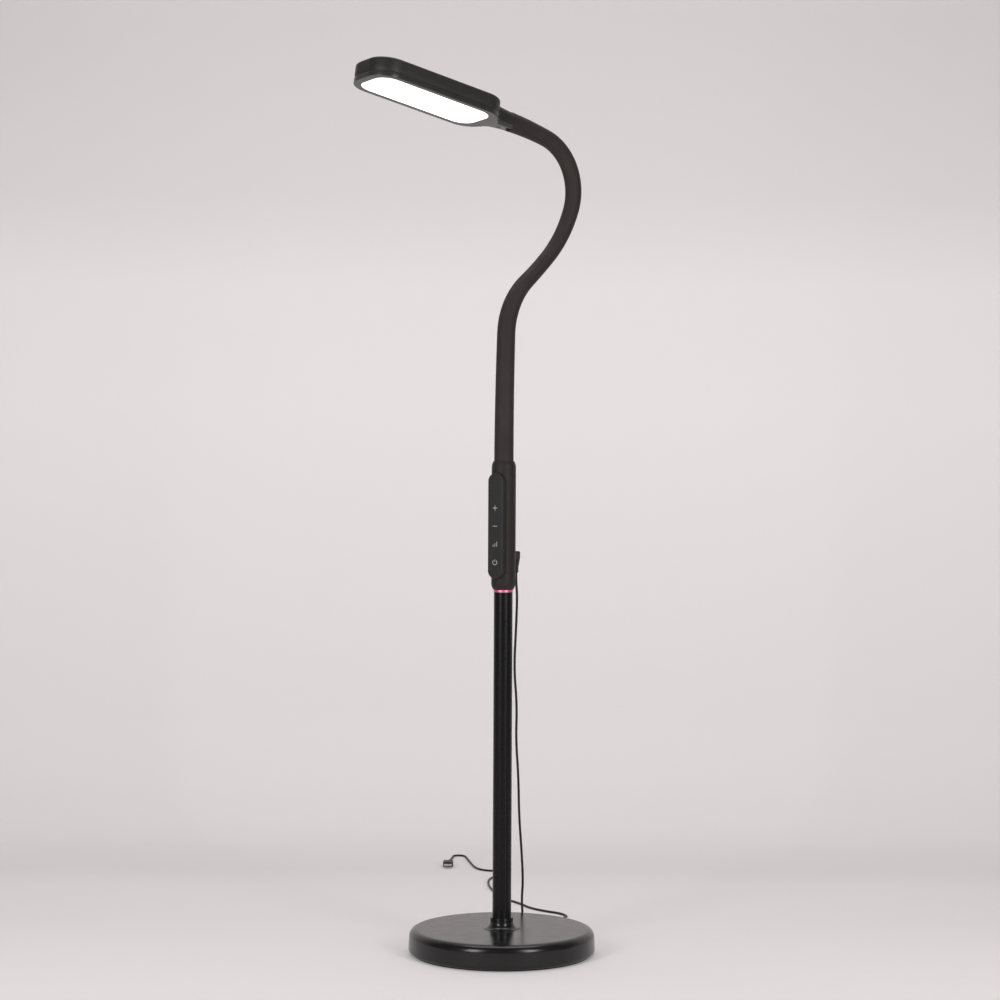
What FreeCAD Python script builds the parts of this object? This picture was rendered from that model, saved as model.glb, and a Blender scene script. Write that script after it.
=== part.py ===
import FreeCAD, Part
import math
import os

V = FreeCAD.Vector

# A floor lamp for reading: a weighted round base, a pole, a control housing, a bendable neck
# and a flat lit head. Millimetres, Z up. The origin is the middle of the foot on the floor,
# and the neck bends in the XZ plane with the head towards -X.

# ---- Base ----
BASE_R = 112.5          # widest radius, at the top of the rolled lower edge
BASE_H = 30.0           # floor to the flat top
BASE_TAPER = 0.7        # the wall leans in by this on its way up
BASE_FILLET = 9.0       # rounding of the top edge
LIP_H = 4.2             # height of the rolled lower edge
LIP_IN = 2.8            # how far the lower edge rolls in
LIP_GAP = 1.9           # floor to the cover's edge
COVER_WALL = 1.2
PAD_T = 2.0             # soft pad under the base
PAD_MARGIN = 5.0        # cover's widest radius to the pad's edge
PLATE_T = 1.4           # steel plate that closes the base
WEIGHT_CLEAR = 0.2      # weight to cover, on top
WEIGHT_SIDE = 1.8       # weight to cover's wall, at the side
BOLT_R = 5.0            # M10 bolt that holds the pole
BOLT_HEAD_R = 9.2
BOLT_HEAD_H = 6.4
BOLT_LEN = 46.0         # under the head
BOLT_POCKET_R = 14.0    # pocket in the weight's underside
BOLT_POCKET_TOP = 14.0  # floor to the pocket's ceiling
WASHER_R = 12.0
WASHER_T = 2.0
HOLE_CLEAR = 0.5        # bolt to the holes that it passes

# ---- Pole and its collar ----
POLE_R = 11.35
POLE_WALL = 1.2
POLE_TOP = 435.7
INSERT_H = 34.0         # threaded plug in each end of the pole
INSERT_CLEAR = 0.1
THREAD_CLEAR = 0.05     # screw to its thread, all round
COLLAR_H = 13.4         # above the base
COLLAR_R = 13.8         # straight upper part
COLLAR_FLARE_R = 22.0   # at the base
COLLAR_FOOT_T = 0.4     # edge of the flare
COLLAR_CLEAR = 0.1
RING_T = 2.9            # bright trim ring between pole and housing
RING_R = 11.7

# ---- Control housing ----
HOUSING_R = 14.7
HOUSING_H = 155.3
HOUSING_WALL = 2.2
HOUSING_TURN = 24.0     # the touch strip is turned by this from -X about Z, degrees
SHOULDER_H = 8.1        # rounded part at each end
FLOOR_T = 2.4           # lower end wall of the housing
FOOT_R = 11.75          # lower end of the rounding
MOUTH_R = 12.6          # upper end of the rounding, round the neck
STRIP_W = 19.8
STRIP_LEN = 126.9
STRIP_LOW = 13.8        # housing's lower end to the strip's
STRIP_FACE = 20.8       # axis to the strip's face
STRIP_T = 2.0           # the touch strip itself, on its pad
STRIP_ROUND = 0.8
WINDOW_W = 13.0         # opening behind the strip, for the board
WINDOW_END = 9.6        # strip's end to the window's
BOARD_W = 12.4
BOARD_T = 1.6
BOARD_LEN = 93.0
BOARD_BEHIND = 5.5      # strip's back to the board's face
BUTTON_PITCH = 21.75    # touch fields, from the lowest up
BUTTON_LOW = 33.6       # housing's lower end to the lowest field
BUTTONS = 4
SPRING_R = 2.5
SPRING_BORE_R = 1.8
SPIGOT_R = 9.0          # metal spigot that screws into the pole
SPIGOT_H = 27.0         # inside the housing
STUD_R = 6.0
STUD_LEN = 26.0         # down into the pole's upper insert
SPIGOT_FLANGE_LOW = 12.0
FLANGE_T = 3.0
FLANGE_CLEAR = 0.1
JACK_UP = 40.4          # housing's lower end to the power jack's axis
JACK_W = 9.0
JACK_H = 10.0
JACK_BACK = 1.0         # axis to the jack's inner end
JACK_FRONT = 11.2
JACK_NOSE_R = 4.0
JACK_BORE_R = 2.85
JACK_BORE_DEPTH = 10.0
JACK_PIN_R = 1.0
SCREW_SIDE = 8.4        # housing screws, either side of the axis
SCREW_UPS = (52.4, 102.4)
SCREW_R = 1.15
SCREW_HEAD_R = 2.1
SCREW_HEAD_T = 1.6
SCREW_SEAT = 8.2        # axis to the underside of the head
SCREW_TIP = 6.0         # beyond the axis
BOSS_R = 2.7
SCREW_CLEAR = 0.1
BOSS_END = 9.4          # parting plane to the closed end of a screw boss
PIN_TO_MOUTH = 2.0      # jack's pin stops this far inside the housing's skin
CUT_PAST = 1.0          # how far a cutting shape reaches past what it cuts

# ---- Neck ----
# The centreline leaves the housing straight up and is made of tangent arcs, each a length
# and the angle that it turns towards +X.
NECK_ARCS = ((154.4, 1.9), (74.0, 46.1), (44.1, -4.9), (72.0, -25.0), (49.9, -40.8), (54.4, -49.1),
             (56.1, -7.3))
# Radius of the soft sleeve at distances along the centreline from the housing's mouth.
SLEEVE_END = sum(length for length, turn in NECK_ARCS)
SLEEVE_RADII = ((-12.0, 11.75), (10.0, 11.75), (150.0, 11.1), (186.0, 10.95), (238.0, 9.3),
                (268.0, 9.15), (372.0, 10.1), (460.0, 10.5), (SLEEVE_END, 11.9))
SLEEVE_SEAT = 11.0      # the sleeve starts this far inside the housing
FIRST_HINGE = 38.0      # distance along the centreline
LAST_LINK = 88.9        # the last hinge to the sleeve's end
HINGES = 8
HINGE_PITCH = (SLEEVE_END - FIRST_HINGE - LAST_LINK) / (HINGES - 1)
JOINT_R = 14.0          # links meet on a sphere of this radius about each hinge
JOINT_GAP = 0.3
CORE_R = 7.0            # steel conduit inside the sleeve
CORE_BORE_R = 3.0
CORE_CLEAR = 0.1
CORE_IN_HOUSING = 36.0  # below the housing's mouth
CORE_IN_HEAD = 24.0     # past the sleeve's end
LEAD_R = 2.3            # electric lead inside the conduit
FERRULE_R = 9.0
FERRULE_LEN = 24.0
FERRULE_FLANGE_R = 12.1
NECK_STATIONS = 6       # circles that a link is lofted through

# ---- Head (local frame: x from tip to neck, z up from the lit face) ----
PANEL_L = 160.0
PANEL_W = 62.0
PANEL_CORNER = 20.0
PANEL_RECESS = 0.3
PANEL_FLANGE = 2.0      # hidden rim of the diffuser
PANEL_CLEAR = 0.2
FRAME_ENDS = 10.0       # width of the frame beyond the panel's ends
FRAME_SIDES = 7.0       # ... and along its sides
FRAME_CORNER = 8.0      # the frame's corner radius is larger than the panel's by this
HEAD_L = PANEL_L + 2 * FRAME_ENDS
HEAD_W = PANEL_W + 2 * FRAME_SIDES
HEAD_CORNER = PANEL_CORNER + FRAME_CORNER
HEAD_T = 23.4
HEAD_EDGE = 3.2         # rounding of the top edge
HEAD_TWIST = -3.0       # the head is twisted about the neck's end by this, lit face to -Y
HEAD_WALL = 2.0
NECK_END_EXTRA = 3.5    # the casing is longer by this at the neck's end
SEAM_Z = 6.0            # lower frame to upper shell
YOKE_LEN = 33.1         # the head's end to the sleeve's end
HEAD_REACH = HEAD_L / 2 + YOKE_LEN      # middle of the panel to the sleeve's end
HEAD_AXIS_Z = 12.2      # lit face to the neck's centreline
BEZEL_FACE_T = 1.6      # front wall that holds the diffuser's rim
DIFFUSER_T = 1.5        # behind the front wall
GUIDE_T = 2.5
GUIDE_MARGIN = 2.4      # pocket's edge to the light guide
STACK_GAP = 0.1
FILM_T = 0.3
BACK_T = 1.2
BACK_GROW = 3.0         # the back plate reaches past the pocket by this
LED_T = 1.2
LED_L = PANEL_L - 2 * PANEL_CORNER
YOKE_IN = 16.0          # the yoke starts this far inside the head's end
YOKE_ROOT = HEAD_L / 2 - YOKE_IN
# Sections of the yoke: distance from the panel's frame, half width, upper corner radius, underside.
YOKE_SECTIONS = ((-YOKE_IN, 18.5, 6.0, 0.2), (1.5, 17.2, 6.4, 0.2), (9.0, 14.6, 8.0, 0.5),
                 (20.0, 12.7, 9.5, 1.2), (YOKE_LEN, 12.0, 11.2, 2.0))
YOKE_LOW_R = 7.0        # rounding of the yoke's lower corners
YOKE_DROP = 0.2         # the yoke is lower than the head's top by this
YOKE_END_DROP = 0.4     # ... and by this at its end
YOKE_SCREW_PAST = 18.0  # the panel's frame to the yoke's screw
YOKE_SCREW_X = HEAD_L / 2 + YOKE_SCREW_PAST
YOKE_SCREW_R = 1.4
YOKE_SCREW_HEAD_R = 2.6
YOKE_SCREW_POCKET = 2.2
YOKE_SCREW_HEAD_T = 0.9
YOKE_SCREW_CLEAR = 0.2  # screw's tip to the ferrule
FERRULE_SHORT = 1.0     # the head's ferrule stops short of the sleeve
BEZEL_EDGE = 1.0        # rounding of the lit face's edge
LEAD_IN_HEAD = 12.0     # the lead reaches this far inside the panel's end

# ---- Power lead ----
CORD_R = 1.5
CORD_DROP = 12.0        # straight down from the strain relief
PLUG_OUT = 31.3         # pole's axis to the plug's
PLUG_R = 4.75
PLUG_TOP = 46.2         # housing's lower end to the plug's top
PLUG_LOW = 28.0         # ... and to the start of the strain relief
PLUG_TAPER_R = 3.0
PLUG_GAP = 0.4          # plug's overmould to the housing
PIN_R = 2.75            # metal barrel of the plug
PIN_BORE_R = 1.25
PIN_LEN = 9.0
PIN_WALL_END = 1.0      # closed end of the barrel, at the plug
PLUG_EDGE = 2.0         # rounding of the plug's top
RELIEF_LEN = 8.0
RELIEF_R = 3.0
RELIEF_NECK_R = 2.3
RELIEF_RIBS = 5
USB_W = 15.0
USB_H = 7.5
USB_LEN = 20.0
SHELL_W = 12.0
SHELL_H = 4.5
SHELL_LEN = 12.0
SHELL_WALL = 0.4
USB_EDGE = 2.0          # rounding of the plug's long edges
TONGUE_T = 1.5
TONGUE_CLEAR = 0.2
# The lead hangs from its strain relief, passes behind the base and lies on the floor. These are
# the corners of its route after its straight drop.
CORD_ROUTE = (
    (30.6, 13.0, 430.0), (33.4, 18.8, 391.0), (37.2, 28.0, 341.0),
    (46.3, 33.7, 294.0), (51.6, 42.8, 250.0), (61.1, 50.1, 205.0), (70.6, 61.2, 153.0),
    (81.0, 69.7, 108.0), (89.6, 77.7, 68.0), (92.4, 84.3, 42.0), (96.5, 87.5, 23.0),
    (99.5, 95.2, 8.5), (94.2, 105.8, 1.5), (77.0, 119.6, 1.5), (55.7, 141.3, 1.5),
    (39.9, 163.8, 1.5), (39.8, 187.4, 1.5), (57.5, 201.7, 1.5), (83.2, 197.9, 1.5),
    (111.7, 180.9, 1.5), (135.1, 155.3, 1.5), (156.4, 133.6, 1.5), (181.0, 123.2, 1.5),
    (204.6, 131.9, 1.5), (210.0, 156.4, 1.5), (202.7, 180.3, 1.5), (200.0, 210.7, 1.5),
    (208.9, 245.0, 1.5), (210.9, 273.2, 1.5), (220.6, 307.0, 1.5), (238.1, 349.9, 1.5),
    (260.9, 391.4, 1.5), (286.4, 424.8, 1.5), (311.5, 442.4, 1.5), (331.7, 446.3, 1.5),
    (344.1, 458.3, 1.5), (340.0, 474.8, 1.5), (326.6, 487.0, 1.5), (324.7, 508.2, 1.5),
    (337.9, 538.2, 1.5), (353.8, 568.6, 1.5), (366.5, 593.0, 1.5), (377.0, 613.0, 1.5),
    (376.3, 621.0, 1.5), (371.0, 626.0, 1.5), (363.7, 625.5, 1.5), (353.0, 612.5, 1.5),
    (343.5, 601.5, 1.5), (333.4, 591.0, 2.4), (322.5, 579.0, 3.75), (313.7, 566.9, 3.75))

HOUSING_Z = POLE_TOP + RING_T
NECK_Z = HOUSING_Z + HOUSING_H
INNER_R = HOUSING_R - HOUSING_WALL


# ---- Helpers ----

def box(x0, x1, y0, y1, z0, z1):
    return Part.makeBox(x1 - x0, y1 - y0, z1 - z0, V(x0, y0, z0))


def rod(radius, z0, z1, x=0.0, y=0.0):
    return Part.makeCylinder(radius, z1 - z0, V(x, y, z0))


def rod_x(radius, x0, x1, y=0.0, z=0.0):
    return Part.makeCylinder(radius, x1 - x0, V(x0, y, z), V(1, 0, 0))


def tube(outer, inner, z0, z1):
    return rod(outer, z0, z1).cut(rod(inner, z0, z1))


def on_circle(centre_r, centre_z, radius, degrees):
    angle = math.radians(degrees)
    return (centre_r + radius * math.cos(angle), centre_z + radius * math.sin(angle))


def turned(start, *steps):
    """A solid turned about Z. A step is a corner (radius, z), or an arc: a point on it and its end."""
    edges = []
    here = start
    for step in (*steps, start):
        if isinstance(step[0], tuple):
            through, end = step
            edges.append(Part.Arc(V(here[0], 0, here[1]), V(through[0], 0, through[1]),
                                  V(end[0], 0, end[1])).toShape())
        else:
            end = step
            edges.append(Part.LineSegment(V(here[0], 0, here[1]), V(end[0], 0, end[1])).toShape())
        here = end
    return Part.Face(Part.Wire(edges)).revolve(V(0, 0, 0), V(0, 0, 1), 360)


def shoulder(radius, rise, inset):
    """The middle of an arc that leaves a wall upright and comes in by inset over a rise."""
    bend = (rise ** 2 + inset ** 2) / (2 * inset)
    angle = math.asin(rise / bend) / 2
    return radius - bend * (1 - math.cos(angle)), bend * math.sin(angle)


def rounded_wire(length, width, corner, z):
    """A rounded rectangle in a level plane, about the Z axis."""
    x, y = length / 2, width / 2
    cut = corner * (1 - math.sqrt(0.5))
    edges = []
    for sx, sy, along in ((1, 1, 1), (-1, 1, 0), (-1, -1, 1), (1, -1, 0)):
        ends = (V(sx * x, sy * (y - corner), z), V(sx * (x - corner), sy * y, z))
        first, last = ends if along else ends[::-1]
        edges.append((first, V(sx * (x - cut), sy * (y - cut), z), last))
    shapes = []
    for i, (first, middle, last) in enumerate(edges):
        shapes.append(Part.Arc(first, middle, last).toShape())
        following = edges[(i + 1) % 4][0]
        if last.distanceToPoint(following) > 1e-6:
            shapes.append(Part.LineSegment(last, following).toShape())
    return Part.Wire(shapes)


def rounded_block(length, width, corner, z0, z1):
    return Part.Face(rounded_wire(length, width, corner, z0)).extrude(V(0, 0, z1 - z0))


def stadium(width, z0, z1, x0, x1):
    """A plate in the YZ plane with round ends, from x0 to x1."""
    r = width / 2
    middle = box(x0, x1, -r, r, z0 + r, z1 - r)
    return middle.fuse([rod_x(r, x0, x1, 0, z0 + r), rod_x(r, x0, x1, 0, z1 - r)]).removeSplitter()


def at_housing(shape):
    """Turns a piece that was drawn with the touch strip facing -X to where the strip faces."""
    shape.rotate(V(0, 0, 0), V(0, 0, 1), HOUSING_TURN)
    return shape


# ---- Base ----

def base_cover():
    foot_r = BASE_R - LIP_IN
    lip_top = LIP_GAP + LIP_H
    wall_r = BASE_R - BASE_TAPER
    fillet_r = wall_r - BASE_FILLET
    fillet_z = BASE_H - BASE_FILLET
    inner_fillet = BASE_FILLET - COVER_WALL
    roll = shoulder(BASE_R, LIP_H, LIP_IN)
    inner_roll = (roll[0] - COVER_WALL, lip_top - roll[1])
    hole = BOLT_R + HOLE_CLEAR
    return turned(
        (foot_r, LIP_GAP), ((roll[0], lip_top - roll[1]), (BASE_R, lip_top)),
        (wall_r, fillet_z), (on_circle(fillet_r, fillet_z, BASE_FILLET, 45), (fillet_r, BASE_H)),
        (hole, BASE_H), (hole, BASE_H - COVER_WALL), (fillet_r, BASE_H - COVER_WALL),
        (on_circle(fillet_r, fillet_z, inner_fillet, 45), (wall_r - COVER_WALL, fillet_z)),
        (BASE_R - COVER_WALL, lip_top), (inner_roll, (foot_r - COVER_WALL, LIP_GAP)))


def base_weight():
    low = PAD_T + PLATE_T
    top = BASE_H - COVER_WALL - WEIGHT_CLEAR
    side = BASE_R - COVER_WALL - WEIGHT_SIDE
    bevel = BASE_FILLET - COVER_WALL
    hole = BOLT_R + HOLE_CLEAR
    return turned((hole, top), (side - bevel, top), (side, top - bevel), (side, low),
                  (BOLT_POCKET_R, low), (BOLT_POCKET_R, BOLT_POCKET_TOP), (hole, BOLT_POCKET_TOP))


def base_plate():
    return rod(BASE_R - LIP_IN - COVER_WALL - 2 * HOLE_CLEAR, PAD_T, PAD_T + PLATE_T)


def base_pad():
    return rod(BASE_R - PAD_MARGIN, 0, PAD_T)


def base_washer():
    return tube(WASHER_R, BOLT_R + THREAD_CLEAR, BOLT_POCKET_TOP - WASHER_T, BOLT_POCKET_TOP)


def base_bolt():
    seat = BOLT_POCKET_TOP - WASHER_T
    corners = [V(BOLT_HEAD_R * math.cos(math.radians(60 * i)),
                 BOLT_HEAD_R * math.sin(math.radians(60 * i)), seat - BOLT_HEAD_H) for i in range(7)]
    head = Part.Face(Part.makePolygon(corners)).extrude(V(0, 0, BOLT_HEAD_H))
    return head.fuse(rod(BOLT_R, seat, seat + BOLT_LEN))


# ---- Pole ----

def pole_collar():
    flare = COLLAR_FLARE_R - COLLAR_R
    foot = BASE_H + COLLAR_FOOT_T
    top = BASE_H + COLLAR_H
    bore = POLE_R + COLLAR_CLEAR
    return turned((bore, BASE_H), (COLLAR_FLARE_R, BASE_H), (COLLAR_FLARE_R, foot),
                  (on_circle(COLLAR_FLARE_R, foot + flare, flare, 225), (COLLAR_R, foot + flare)),
                  (COLLAR_R, top), (bore, top))


def pole_tube():
    return tube(POLE_R, POLE_R - POLE_WALL, BASE_H, POLE_TOP)


def pole_insert(z0, bore):
    return tube(POLE_R - POLE_WALL - INSERT_CLEAR, bore, z0, z0 + INSERT_H)


def trim_ring():
    return tube(RING_R, STUD_R + HOLE_CLEAR, POLE_TOP, HOUSING_Z)


# ---- Control housing ----

def housing_outside():
    low, high = HOUSING_Z, NECK_Z
    foot = shoulder(HOUSING_R, SHOULDER_H, HOUSING_R - FOOT_R)
    head = shoulder(HOUSING_R, SHOULDER_H, HOUSING_R - MOUTH_R)
    return turned((0, low), (FOOT_R, low),
                  ((foot[0], low + SHOULDER_H - foot[1]), (HOUSING_R, low + SHOULDER_H)),
                  (HOUSING_R, high - SHOULDER_H),
                  ((head[0], high - SHOULDER_H + head[1]), (MOUTH_R, high)), (0, high))


def housing_hollow():
    """Everything that is empty inside the housing, drawn as one solid of revolution."""
    floor = HOUSING_Z + FLOOR_T
    mouth = sleeve_radius(0) + CORE_CLEAR
    ceiling = NECK_Z - SLEEVE_SEAT
    stud = STUD_R + HOLE_CLEAR
    below, above = HOUSING_Z - CUT_PAST, NECK_Z + CUT_PAST
    return turned((0, below), (stud, below), (stud, floor), (FOOT_R - 1, floor),
                  (INNER_R, HOUSING_Z + SHOULDER_H), (INNER_R, ceiling), (mouth, ceiling),
                  (mouth, above), (0, above))


def strip_span():
    low = HOUSING_Z + STRIP_LOW
    return low, low + STRIP_LEN


def screw_places():
    return [(side * SCREW_SIDE, HOUSING_Z + up) for up in SCREW_UPS for side in (-1, 1)]


def housing_front():
    low, high = strip_span()
    pad = stadium(STRIP_W, low, high, STRIP_T - STRIP_FACE, -HOUSING_R / 2)
    window = stadium(WINDOW_W, low + WINDOW_END, high - WINDOW_END, -STRIP_FACE, 0)
    half = box(-STRIP_FACE, 0, -HOUSING_R, HOUSING_R, HOUSING_Z, NECK_Z)
    shell = housing_outside().common(half).fuse(pad).cut(housing_hollow()).cut(window)
    room = housing_outside().common(half)
    bosses = [rod_x(BOSS_R, -BOSS_END, 0, y, z).common(room) for y, z in screw_places()]
    holes = [rod_x(SCREW_R + THREAD_CLEAR, -SCREW_TIP - CUT_PAST, 0, y, z) for y, z in screw_places()]
    return at_housing(shell.fuse(bosses).cut(holes))


def housing_rear():
    z = HOUSING_Z + JACK_UP
    half = box(0, HOUSING_R, -HOUSING_R, HOUSING_R, HOUSING_Z, NECK_Z)
    room = housing_outside().common(half)
    shell = room.cut(housing_hollow())
    bosses = [rod_x(BOSS_R, 0, BOSS_END, y, z0).common(room) for y, z0 in screw_places()]
    holes = [rod_x(SCREW_R + SCREW_CLEAR, -CUT_PAST, HOUSING_R, y, z0) for y, z0 in screw_places()]
    holes += [rod_x(SCREW_HEAD_R + SCREW_CLEAR, SCREW_SEAT, HOUSING_R, y, z0)
              for y, z0 in screw_places()]
    holes.append(rod_x(JACK_NOSE_R + SCREW_CLEAR, JACK_FRONT, HOUSING_R + CUT_PAST, 0, z))
    return at_housing(shell.fuse(bosses).cut(holes))


def housing_screws():
    screws = []
    for y, z in screw_places():
        shank = rod_x(SCREW_R, -SCREW_TIP, SCREW_SEAT, y, z)
        screws.append(shank.fuse(rod_x(SCREW_HEAD_R, SCREW_SEAT, SCREW_SEAT + SCREW_HEAD_T, y, z)))
    return at_housing(Part.Compound(screws))


def touch_strip():
    low, high = strip_span()
    plate = stadium(STRIP_W, low, high, -STRIP_FACE, STRIP_T - STRIP_FACE)
    rim = [e for e in plate.Edges if abs(e.CenterOfMass.x + STRIP_FACE) < 1e-3]
    return at_housing(plate.makeFillet(STRIP_ROUND, rim))


def board_face():
    return STRIP_T - STRIP_FACE + BOARD_BEHIND


def control_board():
    low, high = strip_span()
    middle = (low + high) / 2
    face = board_face()
    return at_housing(box(face, face + BOARD_T, -BOARD_W / 2, BOARD_W / 2,
                          middle - BOARD_LEN / 2, middle + BOARD_LEN / 2))


def touch_springs():
    back = STRIP_T - STRIP_FACE
    springs = []
    for i in range(BUTTONS):
        z = HOUSING_Z + BUTTON_LOW + i * BUTTON_PITCH
        springs.append(rod_x(SPRING_R, back, board_face(), 0, z).cut(
            rod_x(SPRING_BORE_R, back, board_face(), 0, z)))
    return at_housing(Part.Compound(springs))


def dc_jack():
    z = HOUSING_Z + JACK_UP
    body = box(JACK_BACK, JACK_FRONT, -JACK_W / 2, JACK_W / 2, z - JACK_H / 2, z + JACK_H / 2)
    nose = rod_x(JACK_NOSE_R, JACK_FRONT, HOUSING_R - SCREW_CLEAR, 0, z)
    bore = rod_x(JACK_BORE_R, HOUSING_R - JACK_BORE_DEPTH, HOUSING_R, 0, z)
    pin = rod_x(JACK_PIN_R, HOUSING_R - JACK_BORE_DEPTH - CUT_PAST, HOUSING_R - PIN_TO_MOUTH, 0, z)
    return at_housing(body.fuse(nose).cut(bore).fuse(pin))


def pole_spigot():
    floor = HOUSING_Z + FLOOR_T
    flange = floor + SPIGOT_FLANGE_LOW
    flange_r = INNER_R - FLANGE_CLEAR
    return turned((0, floor - STUD_LEN), (STUD_R, floor - STUD_LEN), (STUD_R, floor), (SPIGOT_R, floor),
                  (SPIGOT_R, flange), (flange_r, flange), (flange_r, flange + FLANGE_T),
                  (SPIGOT_R, flange + FLANGE_T), (SPIGOT_R, floor + SPIGOT_H), (0, floor + SPIGOT_H))


# ---- Neck ----

def neck_at(s):
    """The point on the neck's centreline at a distance from the housing's mouth, and its direction."""
    x, z, heading = 0.0, NECK_Z, 0.0
    left = s
    for length, turn in NECK_ARCS:
        if left <= 0:
            break
        step = min(left, length)
        bend = math.radians(turn) * step / length
        chord = step * math.sin(bend / 2) / (bend / 2)
        x += chord * math.sin(heading + bend / 2)
        z += chord * math.cos(heading + bend / 2)
        heading += bend
        left -= step
    beyond = left if left > 0 else min(s, 0)
    x += beyond * math.sin(heading)
    z += beyond * math.cos(heading)
    return V(x, 0, z), V(math.sin(heading), 0, math.cos(heading))


def sleeve_radius(s):
    for (s0, r0), (s1, r1) in zip(SLEEVE_RADII, SLEEVE_RADII[1:]):
        if s <= s1:
            return r0 + (r1 - r0) * (s - s0) / (s1 - s0)
    return SLEEVE_RADII[-1][1]


def neck_loft(s0, s1, radius_at):
    """A solid along the neck's centreline, through circles of the given radii."""
    circles = []
    for i in range(NECK_STATIONS + 1):
        s = s0 + (s1 - s0) * i / NECK_STATIONS
        point, along = neck_at(s)
        circles.append(Part.Wire(Part.makeCircle(radius_at(s), point, along)))
    return Part.makeLoft(circles, True, False)


def neck_pipe(s0, s1, radius):
    """A solid of one radius along the neck's centreline."""
    marks = [sum(length for length, turn in NECK_ARCS[:i]) for i in range(len(NECK_ARCS) + 1)]
    stops = [s0, *[m for m in marks if s0 < m < s1], s1]
    edges = []
    for a, b in zip(stops, stops[1:]):
        first, middle, last = (neck_at(s)[0] for s in (a, (a + b) / 2, b))
        straight = b <= 0 or a >= marks[-1]
        edge = Part.LineSegment(first, last) if straight else Part.Arc(first, middle, last)
        edges.append(edge.toShape())
    ring = Part.Wire(Part.makeCircle(radius, *neck_at(s0)))
    return Part.Wire(edges).makePipeShell([ring], True, False)


def hinge_at(k):
    """The distance of hinge k along the centreline, from 1 to HINGES."""
    return FIRST_HINGE + (k - 1) * HINGE_PITCH


def link_span(k, start, end):
    """Where link k starts and ends along the centreline, before its ends are cut round."""
    return (start if k == 0 else hinge_at(k)), (end if k == HINGES else hinge_at(k + 1) + JOINT_R)


def joint_ball(radius, centre):
    """A sphere about a hinge, with its poles to the sides of the neck."""
    return Part.makeSphere(radius, centre, V(0, 1, 0))


def round_ends(link, k):
    """Cuts link k to a cup at its lower hinge and to a dome at its upper one."""
    if k > 0:
        link = link.cut(joint_ball(JOINT_R + JOINT_GAP, neck_at(hinge_at(k))[0]))
    if k < HINGES:
        centre, along = neck_at(hinge_at(k + 1))
        past = Part.makeCylinder(2 * JOINT_R, 2 * JOINT_R, centre, along)
        link = link.cut(past.cut(joint_ball(JOINT_R, centre)))
    return link


def neck_sleeve(k):
    s0, s1 = link_span(k, -SLEEVE_SEAT, SLEEVE_END)
    bore = neck_pipe(s0 - CUT_PAST, s1 + CUT_PAST, CORE_R + CORE_CLEAR)
    return round_ends(neck_loft(s0, s1, sleeve_radius), k).cut(bore)


def neck_core(k):
    """A length of steel conduit with the length of the lead that runs in it."""
    start, end = -CORE_IN_HOUSING, SLEEVE_END + CORE_IN_HEAD
    s0, s1 = link_span(k, start, end)
    bore = neck_pipe(s0 - CUT_PAST, s1 + CUT_PAST, CORE_BORE_R)
    conduit = neck_pipe(s0, s1, CORE_R).cut(bore)
    return Part.Compound([round_ends(conduit, k), round_ends(neck_pipe(s0, s1, LEAD_R), k)])


def neck_ferrule():
    """The crimped end under the neck, whose flange is caught below the housing's mouth."""
    top = NECK_Z - SLEEVE_SEAT
    bore = CORE_R + CORE_CLEAR
    low = top - FERRULE_LEN
    return turned((bore, low), (FERRULE_R, low), (FERRULE_R, top - FLANGE_T),
                  (FERRULE_FLANGE_R, top - FLANGE_T), (FERRULE_FLANGE_R, top), (bore, top))


def lower_lead():
    """The lead between the control board and the neck."""
    top = NECK_Z - CORE_IN_HOUSING
    return rod(LEAD_R, HOUSING_Z + SCREW_UPS[1], top)


# ---- Head ----

def at_head(shape):
    """Moves a piece from the head's own frame to the end of the neck."""
    end, along = neck_at(SLEEVE_END)
    pitch = math.degrees(math.atan2(along.z, -along.x))
    shape.translate(V(-HEAD_REACH, 0, -HEAD_AXIS_Z))
    shape.rotate(V(0, 0, 0), V(1, 0, 0), HEAD_TWIST)
    shape.rotate(V(0, 0, 0), V(0, 1, 0), pitch)
    shape.translate(end)
    return shape


def yoke_section(past, half, upper_r, bottom):
    """A section of the yoke, with a rounded underside and a rounder top, past the panel's frame."""
    x = HEAD_L / 2 + past
    low, high = YOKE_LOW_R, upper_r
    k = 1 - math.sqrt(0.5)
    top = HEAD_T - (YOKE_DROP if past < YOKE_LEN else YOKE_END_DROP)
    corners = (
        (V(x, half, bottom + low), V(x, half - k * low, bottom + k * low), V(x, half - low, bottom)),
        (V(x, low - half, bottom), V(x, k * low - half, bottom + k * low), V(x, -half, bottom + low)),
        (V(x, -half, top - high), V(x, k * high - half, top - k * high), V(x, high - half, top)),
        (V(x, half - high, top), V(x, half - k * high, top - k * high), V(x, half, top - high)))
    edges = []
    for i, (first, middle, last) in enumerate(corners):
        edges.append(Part.Arc(first, middle, last).toShape())
        edges.append(Part.LineSegment(last, corners[(i + 1) % 4][0]).toShape())
    return Part.Wire(edges)


def yoke():
    """The tongue between the head and the neck, wide at the head and as narrow as the sleeve."""
    return Part.makeLoft([yoke_section(*section) for section in YOKE_SECTIONS], True, False)


def yoke_bores():
    start = HEAD_REACH - FERRULE_LEN
    ferrule = rod_x(FERRULE_R + CORE_CLEAR, start, HEAD_REACH + CUT_PAST, 0, HEAD_AXIS_Z)
    lead = rod_x(CORE_R + CORE_CLEAR, YOKE_ROOT - CUT_PAST, start, 0, HEAD_AXIS_Z)
    return [ferrule, lead]


def casing_block(wall, z0, z1):
    """The casing's outside, or its inside at a wall's thickness. It is longer at the neck's end."""
    block = rounded_block(HEAD_L + NECK_END_EXTRA - 2 * wall, HEAD_W - 2 * wall, HEAD_CORNER - wall, z0, z1)
    block.translate(V(NECK_END_EXTRA / 2, 0, 0))
    return block


def head_hollow():
    return casing_block(HEAD_WALL, SEAM_Z, HEAD_T - HEAD_WALL)


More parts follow.
